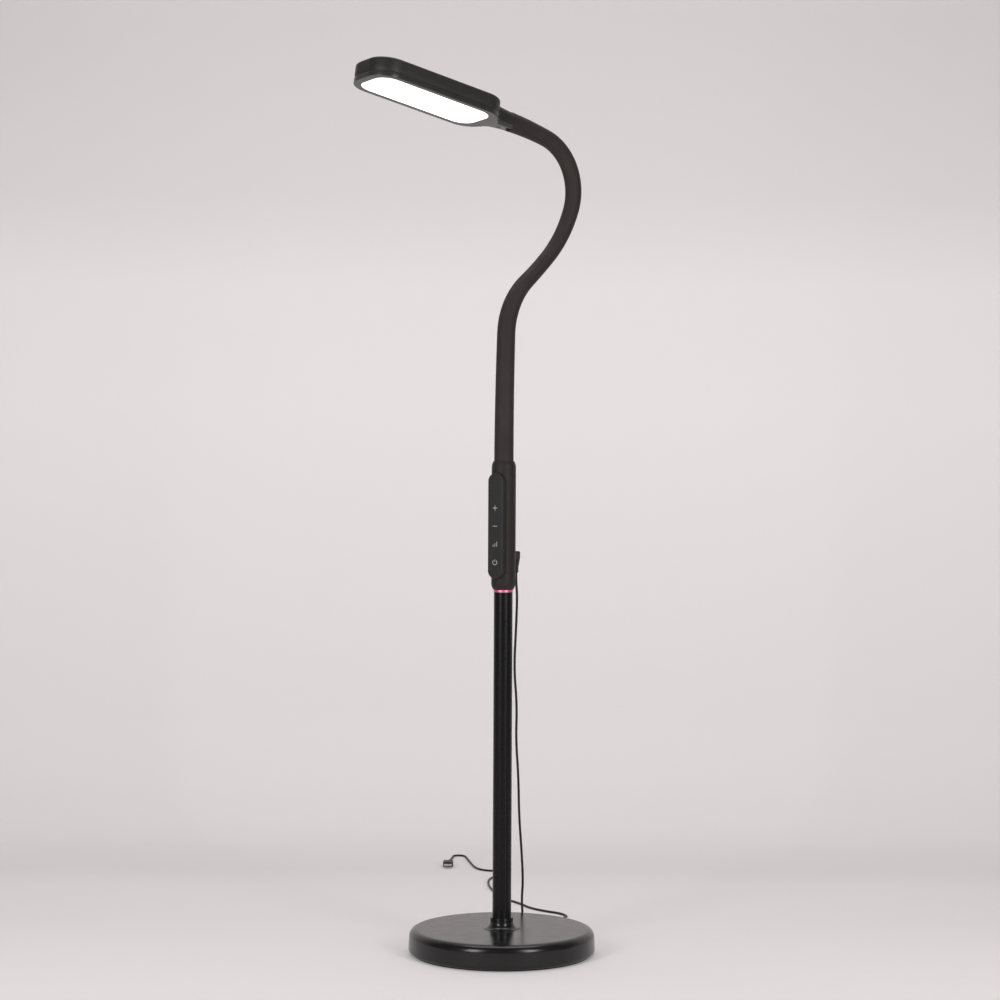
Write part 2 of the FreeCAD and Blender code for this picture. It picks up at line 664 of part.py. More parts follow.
def head_shell():
    block = casing_block(0, SEAM_Z, HEAD_T)
    rim = [e for e in block.Edges if abs(e.BoundBox.ZMin - HEAD_T) < 1e-3]
    block = block.makeFillet(HEAD_EDGE, rim)
    over = box(YOKE_ROOT, HEAD_REACH, -HEAD_W / 2, HEAD_W / 2, SEAM_Z, HEAD_T)
    shell = block.fuse(yoke().common(over)).cut([head_hollow(), *yoke_bores()])
    return at_head(shell.cut(rod(YOKE_SCREW_R, 0, HEAD_AXIS_Z - FERRULE_R, YOKE_SCREW_X)))


def head_bezel():
    block = casing_block(0, 0, SEAM_Z)
    rim = [e for e in block.Edges if abs(e.BoundBox.ZMax) < 1e-3]
    block = block.makeFillet(BEZEL_EDGE, rim)
    under = box(YOKE_ROOT, HEAD_REACH, -HEAD_W / 2, HEAD_W / 2, -CUT_PAST, SEAM_Z)
    opening = rounded_block(PANEL_L, PANEL_W, PANEL_CORNER, -CUT_PAST, BEZEL_FACE_T)
    pocket = rounded_block(PANEL_L + 2 * PANEL_FLANGE, PANEL_W + 2 * PANEL_FLANGE,
                           PANEL_CORNER + PANEL_FLANGE, BEZEL_FACE_T, SEAM_Z)
    frame = block.fuse(yoke().common(under)).cut([opening, pocket, *yoke_bores()])
    hole = rod(YOKE_SCREW_R, -CUT_PAST, SEAM_Z, YOKE_SCREW_X)
    recess = rod(YOKE_SCREW_HEAD_R + SCREW_CLEAR, -CUT_PAST, YOKE_SCREW_POCKET, YOKE_SCREW_X)
    return at_head(frame.cut([hole, recess]))


def diffuser():
    grow = 2 * (PANEL_FLANGE - PANEL_CLEAR)
    lit = rounded_block(PANEL_L - 2 * PANEL_CLEAR, PANEL_W - 2 * PANEL_CLEAR,
                        PANEL_CORNER - PANEL_CLEAR, PANEL_RECESS, BEZEL_FACE_T)
    rim = rounded_block(PANEL_L + grow, PANEL_W + grow, PANEL_CORNER + grow / 2,
                        BEZEL_FACE_T, BEZEL_FACE_T + DIFFUSER_T)
    return at_head(lit.fuse(rim))


def stack_plate(margin, z0, thick):
    """A flat layer of the light box, by its margin inside the pocket of the bezel."""
    corner = PANEL_CORNER + PANEL_FLANGE - margin
    return rounded_block(PANEL_L + 2 * (PANEL_FLANGE - margin), PANEL_W + 2 * (PANEL_FLANGE - margin),
                         corner, z0, z0 + thick)


def guide_z():
    return BEZEL_FACE_T + DIFFUSER_T + STACK_GAP


def light_guide():
    return at_head(stack_plate(GUIDE_MARGIN, guide_z(), GUIDE_T))


def reflector():
    return at_head(stack_plate(GUIDE_MARGIN, guide_z() + GUIDE_T, FILM_T))


def back_plate():
    z = SEAM_Z + STACK_GAP
    return at_head(stack_plate(-BACK_GROW, z, BACK_T))


def led_strips():
    pocket_y = PANEL_W / 2 + PANEL_FLANGE
    z = guide_z()
    strips = []
    for side in (-1, 1):
        outer = side * (pocket_y - PANEL_CLEAR)
        inner = outer - side * LED_T
        strips.append(box(-LED_L / 2, LED_L / 2, min(outer, inner), max(outer, inner), z, z + GUIDE_T))
    return at_head(Part.Compound(strips))


def head_ferrule():
    start = HEAD_REACH - FERRULE_LEN
    outer = rod_x(FERRULE_R, start, HEAD_REACH - FERRULE_SHORT, 0, HEAD_AXIS_Z)
    return at_head(outer.cut(rod_x(CORE_R + CORE_CLEAR, start, HEAD_REACH, 0, HEAD_AXIS_Z)))


def yoke_screw():
    seat = YOKE_SCREW_POCKET
    tip = HEAD_AXIS_Z - FERRULE_R - YOKE_SCREW_CLEAR
    head = rod(YOKE_SCREW_HEAD_R, seat - YOKE_SCREW_HEAD_T, seat, YOKE_SCREW_X)
    shank = rod(YOKE_SCREW_R - THREAD_CLEAR, seat, tip, YOKE_SCREW_X)
    return at_head(head.fuse(shank))


def upper_lead():
    """The lead from the neck's end to the light box."""
    end = HEAD_REACH - CORE_IN_HEAD
    return at_head(rod_x(LEAD_R, PANEL_L / 2 - LEAD_IN_HEAD, end, 0, HEAD_AXIS_Z))


# ---- Power lead ----

def plug_axis():
    turn = math.radians(HOUSING_TURN)
    return PLUG_OUT * math.cos(turn), PLUG_OUT * math.sin(turn)


def dc_plug():
    low, top = HOUSING_Z + PLUG_LOW, HOUSING_Z + PLUG_TOP
    z = HOUSING_Z + JACK_UP
    edge_r, edge_z = PLUG_R - PLUG_EDGE, top - PLUG_EDGE
    body = turned((0, low), (PLUG_TAPER_R, low), (PLUG_R, z - PLUG_EDGE), (PLUG_R, edge_z),
                  (on_circle(edge_r, edge_z, PLUG_EDGE, 45), (edge_r, top)), (0, top))
    body.translate(V(PLUG_OUT, 0, 0))
    neck = rod_x(PLUG_R, HOUSING_R + PLUG_GAP, PLUG_OUT, 0, z)
    return at_housing(body.fuse(neck))


def dc_plug_barrel():
    z = HOUSING_Z + JACK_UP
    start = HOUSING_R + PLUG_GAP
    barrel = rod_x(PIN_R, start - PIN_LEN, start, 0, z)
    bore = rod_x(PIN_BORE_R, start - PIN_LEN, start - PIN_WALL_END, 0, z)
    return at_housing(barrel.cut(bore))


def strain_relief():
    """Ribbed sleeve under the plug."""
    top = HOUSING_Z + PLUG_LOW
    rib = RELIEF_LEN / (2 * RELIEF_RIBS)
    rings = [rod(RELIEF_R, top - (2 * i + 1) * rib, top - 2 * i * rib) for i in range(RELIEF_RIBS)]
    sleeve = rod(RELIEF_NECK_R, top - RELIEF_LEN, top).fuse(rings)
    sleeve.translate(V(PLUG_OUT, 0, 0))
    return at_housing(sleeve)


def route_start():
    x, y = plug_axis()
    z = HOUSING_Z + PLUG_LOW - RELIEF_LEN
    return [V(x, y, z), V(x, y, z - CORD_DROP)]


def power_cord():
    """A tube of straight runs and tangent arcs along the route."""
    points = route_start() + [V(*p) for p in CORD_ROUTE]
    runs = [b - a for a, b in zip(points, points[1:])]
    edges, here, radii = [], points[0], []
    for i in range(1, len(points) - 1):
        back, ahead = V(runs[i - 1]).normalize(), V(runs[i]).normalize()
        turn = back.getAngle(ahead)
        trim = 0.45 * min(runs[i - 1].Length, runs[i].Length)
        radius = trim / math.tan(turn / 2)
        first, last = points[i] - back * trim, points[i] + ahead * trim
        middle = points[i] + (ahead - back).normalize() * (radius / math.cos(turn / 2) - radius)
        edges.append(Part.LineSegment(here, first).toShape())
        edges.append(Part.Arc(first, middle, last).toShape())
        radii.append(radius)
        here = last
    edges.append(Part.LineSegment(here, points[-1]).toShape())
    path = Part.Wire(edges)
    ring = Part.Wire(Part.makeCircle(CORD_R, points[0], runs[0]))
    cord = path.makePipeShell([ring], True, False)
    print("cord length %.1f, tightest radius %.1f" % (path.Length, min(radii)))
    print("cord radii", " ".join("%.0f" % r for r in radii))
    print("cord volume over section times length %.4f"
          % (cord.Volume / (math.pi * CORD_R ** 2 * path.Length)))
    return cord


def at_cord_end(shape):
    """Moves a piece drawn along +X from the origin to the far end of the lead."""
    end, before = V(*CORD_ROUTE[-1]), V(*CORD_ROUTE[-2])
    along = end - before
    shape.rotate(V(0, 0, 0), V(0, 0, 1), math.degrees(math.atan2(along.y, along.x)))
    shape.translate(end)
    return shape


def usb_plug():
    body = box(0, USB_LEN, -USB_W / 2, USB_W / 2, -USB_H / 2, USB_H / 2)
    corners = [e for e in body.Edges if abs(e.tangentAt(e.FirstParameter).x) > 0.9]
    return at_cord_end(body.makeFillet(USB_EDGE, corners))


def usb_shell():
    end = USB_LEN + SHELL_LEN
    outer = box(USB_LEN, end, -SHELL_W / 2, SHELL_W / 2, -SHELL_H / 2, SHELL_H / 2)
    half, side = SHELL_W / 2 - SHELL_WALL, SHELL_W / 2 - SHELL_WALL - TONGUE_CLEAR
    high = SHELL_H / 2 - SHELL_WALL
    inner = box(USB_LEN + 1, end + CUT_PAST, -half, half, -high, high)
    tongue = box(USB_LEN, end - 1, -side, side, TONGUE_CLEAR, TONGUE_CLEAR + TONGUE_T)
    return at_cord_end(outer.cut(inner).fuse(tongue))


def sub_parts():
    lower_insert = pole_insert(BASE_H + WEIGHT_CLEAR, BOLT_R + THREAD_CLEAR)
    upper_insert = pole_insert(POLE_TOP - INSERT_H, STUD_R + THREAD_CLEAR)
    parts = {
        "base_cover": base_cover(), "base_weight": base_weight(), "base_plate": base_plate(),
        "base_pad": base_pad(), "base_washer": base_washer(), "base_bolt": base_bolt(),
        "pole_collar": pole_collar(), "pole_tube": pole_tube(), "pole_insert_lower": lower_insert,
        "pole_insert_upper": upper_insert, "trim_ring": trim_ring(), "pole_spigot": pole_spigot(),
        "housing_front": housing_front(), "housing_rear": housing_rear(),
        "housing_screws": housing_screws(), "touch_strip": touch_strip(),
        "control_board": control_board(), "touch_springs": touch_springs(), "dc_jack": dc_jack(),
        "neck_ferrule": neck_ferrule(), "lower_lead": lower_lead(),
    }
    for k in range(HINGES + 1):
        parts["neck_sleeve_%d" % (k + 1)] = neck_sleeve(k)
        parts["neck_core_%d" % (k + 1)] = neck_core(k)
    parts.update({
        "head_ferrule": head_ferrule(), "upper_lead": upper_lead(), "head_shell": head_shell(),
        "head_bezel": head_bezel(), "diffuser": diffuser(), "light_guide": light_guide(),
        "reflector": reflector(), "led_strips": led_strips(), "back_plate": back_plate(),
        "yoke_screw": yoke_screw(), "dc_plug": dc_plug(), "dc_plug_barrel": dc_plug_barrel(),
        "strain_relief": strain_relief(), "power_cord": power_cord(), "usb_plug": usb_plug(),
        "usb_shell": usb_shell(),
    })
    return parts


os.makedirs("parts", exist_ok=True)
for name, shape in sub_parts().items():
    if not shape.isValid():
        print("not valid:", name)
    shape.exportStep("parts/%s.step" % name)
    print("%-18s solids %d volume %.0f" % (name, len(shape.Solids), shape.Volume))
for k in range(1, HINGES + 1):
    point, along = neck_at(hinge_at(k))
    print("hinge %d at (%.2f, %.2f), direction (%.4f, %.4f)" % (k, point.x, point.z, along.x, along.z))
end, along = neck_at(SLEEVE_END)
print("neck ends at (%.2f, %.2f), direction (%.4f, %.4f)" % (end.x, end.z, along.x, along.z))
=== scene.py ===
import math

import bmesh
import bpy
from mathutils import Matrix, Vector, geometry


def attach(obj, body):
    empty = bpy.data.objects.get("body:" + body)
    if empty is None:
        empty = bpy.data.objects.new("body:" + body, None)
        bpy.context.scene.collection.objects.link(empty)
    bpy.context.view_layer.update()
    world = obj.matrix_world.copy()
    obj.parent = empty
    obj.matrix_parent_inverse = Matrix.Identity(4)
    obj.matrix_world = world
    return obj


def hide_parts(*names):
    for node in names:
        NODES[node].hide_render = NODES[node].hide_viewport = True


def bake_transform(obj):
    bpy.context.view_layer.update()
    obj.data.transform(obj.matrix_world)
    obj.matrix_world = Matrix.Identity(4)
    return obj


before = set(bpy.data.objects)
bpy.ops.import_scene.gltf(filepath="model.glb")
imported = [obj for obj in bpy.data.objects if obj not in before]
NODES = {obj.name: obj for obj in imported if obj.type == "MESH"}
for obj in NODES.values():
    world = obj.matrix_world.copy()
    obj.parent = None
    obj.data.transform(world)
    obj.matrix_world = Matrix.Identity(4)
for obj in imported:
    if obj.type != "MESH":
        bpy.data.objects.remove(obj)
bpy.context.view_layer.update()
LINKS = range(1, 10)                    # the lengths that the neck is cut into


# ---- Materials ----

def srgb(r, g, b):
    """A colour given as 0 to 255 screen values, as linear RGBA."""
    def linear(v):
        v /= 255
        return v / 12.92 if v <= 0.04045 else ((v + 0.055) / 1.055) ** 2.4
    return (linear(r), linear(g), linear(b), 1.0)


class Nodes:
    """Short calls for building a material's node tree."""

    def __init__(self, name):
        self.material = bpy.data.materials.new(name)
        self.material.use_nodes = True
        self.tree = self.material.node_tree
        self.shader = self.tree.nodes["Principled BSDF"]
        self.coords = self.tree.nodes.new("ShaderNodeTexCoord").outputs["Object"]

    def add(self, kind, inputs=(), **settings):
        node = self.tree.nodes.new(kind)
        for key, value in settings.items():
            setattr(node, key, value)
        for key, value in dict(inputs).items():
            if isinstance(value, bpy.types.NodeSocket):
                self.tree.links.new(value, node.inputs[key])
            else:
                node.inputs[key].default_value = value
        return node

    def noise(self, scale, detail=3.0, rough=0.5, stretch=None):
        where = self.coords
        if stretch:
            where = self.add("ShaderNodeMapping", {"Vector": where, "Scale": stretch}).outputs[0]
        return self.add("ShaderNodeTexNoise", {
            "Vector": where, "Scale": scale, "Detail": detail, "Roughness": rough}).outputs["Fac"]

    def spread(self, value, low=0.0, high=1.0):
        """Maps a noise, most of which lies between 0.3 and 0.7, to a range."""
        return self.add("ShaderNodeMapRange", {
            "Value": value, "From Min": 0.3, "From Max": 0.7, "To Min": low, "To Max": high}).outputs[0]

    def mix(self, factor, a, b):
        node = self.add("ShaderNodeMix", data_type="RGBA")
        self.tree.links.new(factor, node.inputs[0])
        for index, value in ((6, a), (7, b)):
            if isinstance(value, bpy.types.NodeSocket):
                self.tree.links.new(value, node.inputs[index])
            else:
                node.inputs[index].default_value = value
        return node.outputs[2]

    def bump(self, height, strength, distance, normal=None):
        inputs = {"Height": height, "Strength": strength, "Distance": distance}
        if normal is not None:
            inputs["Normal"] = normal
        return self.add("ShaderNodeBump", inputs).outputs[0]

    def link(self, **sockets):
        for key, value in sockets.items():
            target = self.shader.inputs[key.replace("_", " ")]
            if isinstance(value, bpy.types.NodeSocket):
                self.tree.links.new(value, target)
            else:
                target.default_value = value
        return self.material


CLOUD, UNEVEN, WEAR, BRUSHED = 28.0, 70.0, 160.0, 300.0     # noise, in waves to a metre
GRAIN_HEIGHT, WEAR_HEIGHT, BRUSHED_HEIGHT = 0.0003, 0.0004, 0.0002


def moulded(name, colour, pale, rough, grain, depth, ior=1.45):
    """A plastic or coated surface: mottled colour, uneven gloss and a fine grain in the relief."""
    n = Nodes(name)
    cloud = n.noise(CLOUD, 4.0)
    fine = n.noise(grain, 2.0, 0.6)
    wear = n.noise(WEAR, 5.0, 0.65)
    gloss = n.spread(n.noise(UNEVEN, 4.0), *rough)
    bump = n.bump(fine, depth, GRAIN_HEIGHT, n.bump(wear, depth * 0.4, WEAR_HEIGHT))
    return n.link(Base_Color=n.mix(n.spread(cloud), colour, pale), Roughness=gloss, IOR=ior, Normal=bump)


def metal(name, colour, dark, rough, stretch):
    """A metal with fine lines, which run along the direction that stretch makes long."""
    n = Nodes(name)
    lines = n.noise(BRUSHED, 3.0, 0.5, stretch)
    cloud = n.noise(40.0, 4.0)
    return n.link(Metallic=1.0, Base_Color=n.mix(n.spread(cloud), colour, dark),
                  Roughness=n.spread(lines, *rough), Normal=n.bump(lines, 0.15, BRUSHED_HEIGHT))


mat_sleeve = moulded("silicone_sleeve", srgb(44, 38, 36), srgb(50, 43, 41), (0.58, 0.7), 2600.0, 0.25, 1.38)
mat_head = moulded("head_plastic", srgb(33, 29, 28), srgb(38, 34, 33), (0.46, 0.54), 2200.0, 0.15)
mat_bezel = moulded("frame_plastic", srgb(44, 41, 40), srgb(49, 46, 45), (0.26, 0.32), 2200.0, 0.05, 1.55)
mat_housing = moulded("housing_plastic", srgb(36, 31, 29), srgb(41, 36, 33), (0.5, 0.6), 1900.0, 0.2, 1.36)
mat_strip = moulded("strip_plastic", srgb(29, 26, 25), srgb(33, 30, 29), (0.36, 0.44), 1500.0, 0.08)
mat_base = moulded("base_paint", srgb(15, 14, 15), srgb(19, 18, 19), (0.2, 0.25), 2600.0, 0.03, 1.46)
mat_pole = moulded("pole_paint", srgb(15, 14, 15), srgb(19, 18, 19), (0.25, 0.31), 2600.0, 0.02, 1.28)
mat_cord = moulded("cord_sheath", srgb(18, 17, 18), srgb(24, 23, 24), (0.42, 0.55), 3000.0, 0.2)
mat_plug = moulded("plug_overmould", srgb(26, 24, 25), srgb(32, 30, 31), (0.45, 0.58), 2600.0, 0.25)
mat_pad = moulded("pad_rubber", srgb(24, 24, 24), srgb(32, 31, 31), (0.75, 0.9), 900.0, 0.6)
mat_sign = moulded("printed_sign", srgb(214, 210, 210), srgb(224, 221, 221), (0.45, 0.55), 2000.0, 0.1)
mat_film = moulded("white_film", srgb(235, 235, 235), srgb(242, 242, 242), (0.4, 0.5), 900.0, 0.1)
mat_lead = moulded("lead_sheath", srgb(205, 203, 198), srgb(216, 214, 210), (0.45, 0.55), 1800.0, 0.2)
mat_board = moulded("solder_mask", srgb(28, 92, 52), srgb(34, 104, 60), (0.25, 0.35), 1200.0, 0.2)
mat_cement = moulded("cement_casting", srgb(128, 126, 122), srgb(148, 146, 141), (0.8, 0.95), 500.0, 0.8)
mat_steel = metal("zinc_plate", srgb(178, 176, 172), srgb(150, 149, 147), (0.25, 0.42), (1.0, 1.0, 0.1))
mat_screw = metal("blackened_screw", srgb(96, 93, 93), srgb(80, 78, 78), (0.3, 0.45), (1.0, 1.0, 0.1))
mat_pink = metal("pink_plating", srgb(238, 140, 172), srgb(222, 122, 156), (0.38, 0.46), (1.0, 1.0, 0.2))
mat_nickel = metal("nickel_plate", srgb(206, 203, 198), srgb(186, 184, 180), (0.12, 0.24), (0.2, 1.0, 1.0))


PANEL_GLOW = 1.15


def light_panel():
    """An opal sheet that glows, with a slight cloud in its white."""
    n = Nodes("opal_panel")
    cloud = n.noise(60.0, 3.0)
    glow = n.mix(n.spread(cloud), srgb(255, 255, 254), srgb(252, 253, 255))
    return n.link(Base_Color=srgb(240, 240, 240), Roughness=n.spread(cloud, 0.35, 0.45),
                  Emission_Color=glow, Emission_Strength=PANEL_GLOW, Normal=n.bump(cloud, 0.05, 0.0002))


mat_panel = light_panel()


def dress(obj, material):
    obj.data.materials.clear()
    obj.data.materials.append(material)
    return obj


CAD_FINISH = {
    mat_base: ["base_cover", "pole_collar"],
    mat_pad: ["base_pad"],
    mat_cement: ["base_weight"],
    mat_steel: ["base_plate", "base_washer", "base_bolt", "pole_insert_lower", "pole_insert_upper",
                "pole_spigot", "housing_screws", "touch_springs", "neck_ferrule", "head_ferrule",
                "back_plate"] + ["neck_core_%d" % k for k in LINKS],
    mat_screw: ["yoke_screw"],
    mat_housing: ["housing_front", "housing_rear"],
    mat_pole: ["pole_tube"],
    mat_pink: ["trim_ring"],
    mat_strip: ["touch_strip"],
    mat_board: ["control_board"],
    mat_lead: ["lower_lead", "upper_lead"],
    mat_head: ["head_shell"],
    mat_bezel: ["head_bezel"],
    mat_panel: ["diffuser"],
    mat_film: ["light_guide", "reflector", "led_strips"],
    mat_plug: ["dc_jack", "dc_plug", "strain_relief", "usb_plug"],
    mat_nickel: ["dc_plug_barrel", "usb_shell"],
    mat_sleeve: ["neck_sleeve_%d" % k for k in LINKS],
    mat_cord: ["power_cord"],
}
for material, names in CAD_FINISH.items():
    for name in names:
        dress(NODES[name], material)


# ---- Camera ----
# It looks along +Y turned by 36 degrees towards +X, level, and is rolled by a quarter of a degree.

CAM_TURN = math.radians(36.0)
CAM_LENS, CAM_SENSOR, CAM_CLIP = 80.0, 36.0, 50.0
CAM_SIDE, CAM_BACK, CAM_UP = -0.0045, 2.685, 0.547
CAM_ROLL = math.radians(0.27)


def view_to_row(right, ahead):
    """A level offset in the camera's directions, as X and Y."""
    c, s = math.cos(CAM_TURN), math.sin(CAM_TURN)
    return c * right + s * ahead, c * ahead - s * right


camera = bpy.data.objects.new("camera", bpy.data.cameras.new("camera"))
camera.data.lens = CAM_LENS
camera.data.sensor_width = CAM_SENSOR
camera.data.clip_end = CAM_CLIP
x, y = view_to_row(CAM_SIDE, -CAM_BACK)
camera.matrix_world = (Matrix.Translation((x, y, CAM_UP)) @ Matrix.Rotation(-CAM_TURN, 4, "Z")
                       @ Matrix.Rotation(math.pi / 2, 4, "X") @ Matrix.Rotation(CAM_ROLL, 4, "Z"))
bpy.context.scene.collection.objects.link(camera)
bpy.context.scene.camera = camera


# ---- Helpers for meshes ----

MM = 1000                               # millimetres in a metre


def arc(cx, cy, radius, start, end, steps):
    """Points along an arc, between two angles in degrees."""
    angles = (math.radians(start + (end - start) * i / steps) for i in range(steps + 1))
    return [Vector((cx + radius * math.cos(a), cy + radius * math.sin(a))) for a in angles]


def new_mesh(name, verts, faces, material, smooth=True):
    data = bpy.data.meshes.new(name)
    data.from_pydata([tuple(v) for v in verts], [], faces)
    if smooth:
        data.polygons.foreach_set("use_smooth", [True] * len(data.polygons))
    data.update()
    obj = bpy.data.objects.new(name, data)
    bpy.context.scene.collection.objects.link(obj)
    return dress(obj, material)


# ---- Power lead ----
# The route's corners, in mm, from the end of the strain relief to the USB plug.

CORD_ROUTE = [
    (28.594, 12.731, 458.6), (28.594, 12.731, 446.6), (30.6, 13.0, 430.0), (33.4, 18.8, 391.0),
    (37.2, 28.0, 341.0), (46.3, 33.7, 294.0), (51.6, 42.8, 250.0), (61.1, 50.1, 205.0),
    (70.6, 61.2, 153.0), (81.0, 69.7, 108.0), (89.6, 77.7, 68.0), (92.4, 84.3, 42.0), (96.5, 87.5, 23.0),
    (99.5, 95.2, 8.5), (94.2, 105.8, 1.5), (77.0, 119.6, 1.5), (55.7, 141.3, 1.5),
    (39.9, 163.8, 1.5), (39.8, 187.4, 1.5), (57.5, 201.7, 1.5), (83.2, 197.9, 1.5),
    (111.7, 180.9, 1.5), (135.1, 155.3, 1.5), (156.4, 133.6, 1.5), (181.0, 123.2, 1.5),
    (204.6, 131.9, 1.5), (210.0, 156.4, 1.5), (202.7, 180.3, 1.5), (200.0, 210.7, 1.5),
    (208.9, 245.0, 1.5), (210.9, 273.2, 1.5), (220.6, 307.0, 1.5), (238.1, 349.9, 1.5),
    (260.9, 391.4, 1.5), (286.4, 424.8, 1.5), (311.5, 442.4, 1.5), (331.7, 446.3, 1.5),
    (344.1, 458.3, 1.5), (340.0, 474.8, 1.5), (326.6, 487.0, 1.5), (324.7, 508.2, 1.5),
    (337.9, 538.2, 1.5), (353.8, 568.6, 1.5), (366.5, 593.0, 1.5), (377.0, 613.0, 1.5),
    (376.3, 621.0, 1.5), (371.0, 626.0, 1.5), (363.7, 625.5, 1.5), (353.0, 612.5, 1.5),
    (343.5, 601.5, 1.5), (333.4, 591.0, 2.4), (322.5, 579.0, 3.75), (313.7, 566.9, 3.75)]
CORD_D = 0.003
CORD_FACETS, CORD_STEPS = 6, 10         # how finely its round is drawn, and its steps between corners


def cord_curve():
    """A smooth tube with the route's corners as its control points."""
    data = bpy.data.curves.new("lead", "CURVE")
    data.dimensions = "3D"
    data.bevel_depth = CORD_D / 2
    data.bevel_resolution = CORD_FACETS
    data.use_fill_caps = True
    data.resolution_u = CORD_STEPS
    spline = data.splines.new("NURBS")
    spline.points.add(len(CORD_ROUTE) - 1)
    for point, (px, py, pz) in zip(spline.points, CORD_ROUTE):
        point.co = (px / MM, py / MM, pz / MM, 1.0)
    spline.order_u = 3
    spline.use_endpoint_u = True
    obj = bpy.data.objects.new("lead", data)
    bpy.context.scene.collection.objects.link(obj)
    return dress(obj, mat_cord)


lead = cord_curve()
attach(lead, "stand")
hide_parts("power_cord")


# ---- Neck ----
# The centreline: arcs of a length in mm and the angle that each turns towards +X. The soft sleeve is
# one smooth tube, and so is the conduit inside it. Both are in pieces that each span one hinge
# and join midway between hinges.

NECK_Z = 593.9
NECK_ARCS = ((154.4, 1.9), (74.0, 46.1), (44.1, -4.9), (72.0, -25.0), (49.9, -40.8), (54.4, -49.1),
             (56.1, -7.3))
NECK_END = sum(length for length, turn in NECK_ARCS)
# Radius of the sleeve at distances from the housing's mouth.
SLEEVE_RADII = ((-12.0, 11.75), (10.0, 11.75), (150.0, 11.1), (186.0, 10.95), (238.0, 9.3),
                (268.0, 9.15), (372.0, 10.1), (460.0, 10.5), (NECK_END, 11.9))
SMOOTH_REACH, SMOOTH_STEP = 15, 3       # the table's corners are rounded off over this on each side
SMOOTH_UNTIL = NECK_END - 16            # ... except near the neck's end
SLEEVE_LOW = -4.0                       # the sleeve's pieces start this far from the housing's mouth
FIRST_HINGE, HINGE_PITCH, HINGES = 38.0, 54.0, len(LINKS) - 1
END_ROUND, END_BULGE = 0.6, 0.1         # the closed end is smaller by one and stands out by the other
CONDUIT_R, CONDUIT_IN_HOUSING, CONDUIT_IN_HEAD = 7.0, 36.0, 24.0
RING, RING_STEP = 64, 2.0               # points round the neck, and mm between rings


def neck_at(s):
    """The point on the centreline at s mm from the housing's mouth, and its direction."""
    x, z, heading, left = 0.0, NECK_Z, 0.0, s
    for length, turn in NECK_ARCS:
        if left <= 0:
            break
        step = min(left, length)
        bend = math.radians(turn) * step / length
        chord = step * math.sin(bend / 2) / (bend / 2)
        x += chord * math.sin(heading + bend / 2)
        z += chord * math.cos(heading + bend / 2)
        heading += bend
        left -= step
    beyond = left if left > 0 else min(s, 0)
    x += beyond * math.sin(heading)
    z += beyond * math.cos(heading)
    return Vector((x, 0, z)), Vector((math.sin(heading), 0, math.cos(heading)))


def smooth_radius(s):
    """The sleeve's radius, with the corners of the table rounded off."""
    def table(t):
        for (s0, r0), (s1, r1) in zip(SLEEVE_RADII, SLEEVE_RADII[1:]):
            if t <= s1:
                return r0 + (r1 - r0) * (t - s0) / (s1 - s0)
        return SLEEVE_RADII[-1][1]
    if s > SMOOTH_UNTIL:
        return table(s)
    offsets = range(-SMOOTH_REACH, SMOOTH_REACH + 1, SMOOTH_STEP)
    return sum(table(s + o) for o in offsets) / len(offsets)


def neck_piece(name, material, radius_at, s0, s1, closed):
    """A length of a tube along the neck. closed says which of its two ends have a face."""
    steps = max(2, round((s1 - s0) / RING_STEP))
    side = Vector((0, 1, 0))
    verts, faces = [], []
    for i in range(steps + 1):
        s = s0 + (s1 - s0) * i / steps
        centre, along = neck_at(s)
        out = side.cross(along)
        radius = radius_at(s)
        for j in range(RING):
            angle = 2 * math.pi * j / RING
            verts.append((centre + radius * (math.cos(angle) * out + math.sin(angle) * side)) / MM)
    if closed[1]:
        for edge in [v * MM for v in verts[-RING:]]:
            verts.append((edge - END_ROUND * (edge - centre).normalized() + along * END_BULGE) / MM)
        steps += 1
    for i in range(steps):
        for j in range(RING):
            a, b = i * RING + j, i * RING + (j + 1) % RING
            faces.append((a, b, b + RING, a + RING))
    if closed[0]:
        faces.append(tuple(reversed(range(RING))))
    if closed[1]:
        faces.append(tuple(range(steps * RING, (steps + 1) * RING)))
    return new_mesh(name, verts, faces, material)


# Name, material, node, slot, radius at a distance, lowest and highest distance, and whether it is
# closed below.
NECK_TUBES = (
    ("sleeve", mat_sleeve, "neck_sleeve", "sleeve_black", smooth_radius, SLEEVE_LOW, NECK_END, False),
    ("conduit", mat_steel, "neck_core", "conduit_steel", lambda s: CONDUIT_R, -CONDUIT_IN_HOUSING,
     NECK_END + CONDUIT_IN_HEAD, True))
for k in LINKS[:-1]:
    hinge = FIRST_HINGE + (k - 1) * HINGE_PITCH
    first, last = k == 1, k == HINGES
    centre, along = neck_at(hinge)
    for name, material, node, slot, radius_at, low, high, closed_below in NECK_TUBES:
        s0 = low if first else hinge - HINGE_PITCH / 2
        s1 = high if last else hinge + HINGE_PITCH / 2
        closed = (first and closed_below, last)
        piece = neck_piece("%s_%d" % (name, k), material, radius_at, s0, s1, closed)
        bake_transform(piece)
        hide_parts("%s_%d" % (node, k), *(["%s_%d" % (node, k + 1)] if last else []))


# ---- Head ----
# In the head's own frame, in mm: x from the tip to the neck, z up from the lit face. The two halves of
# the casing are skins over one outline, which takes in the yoke.

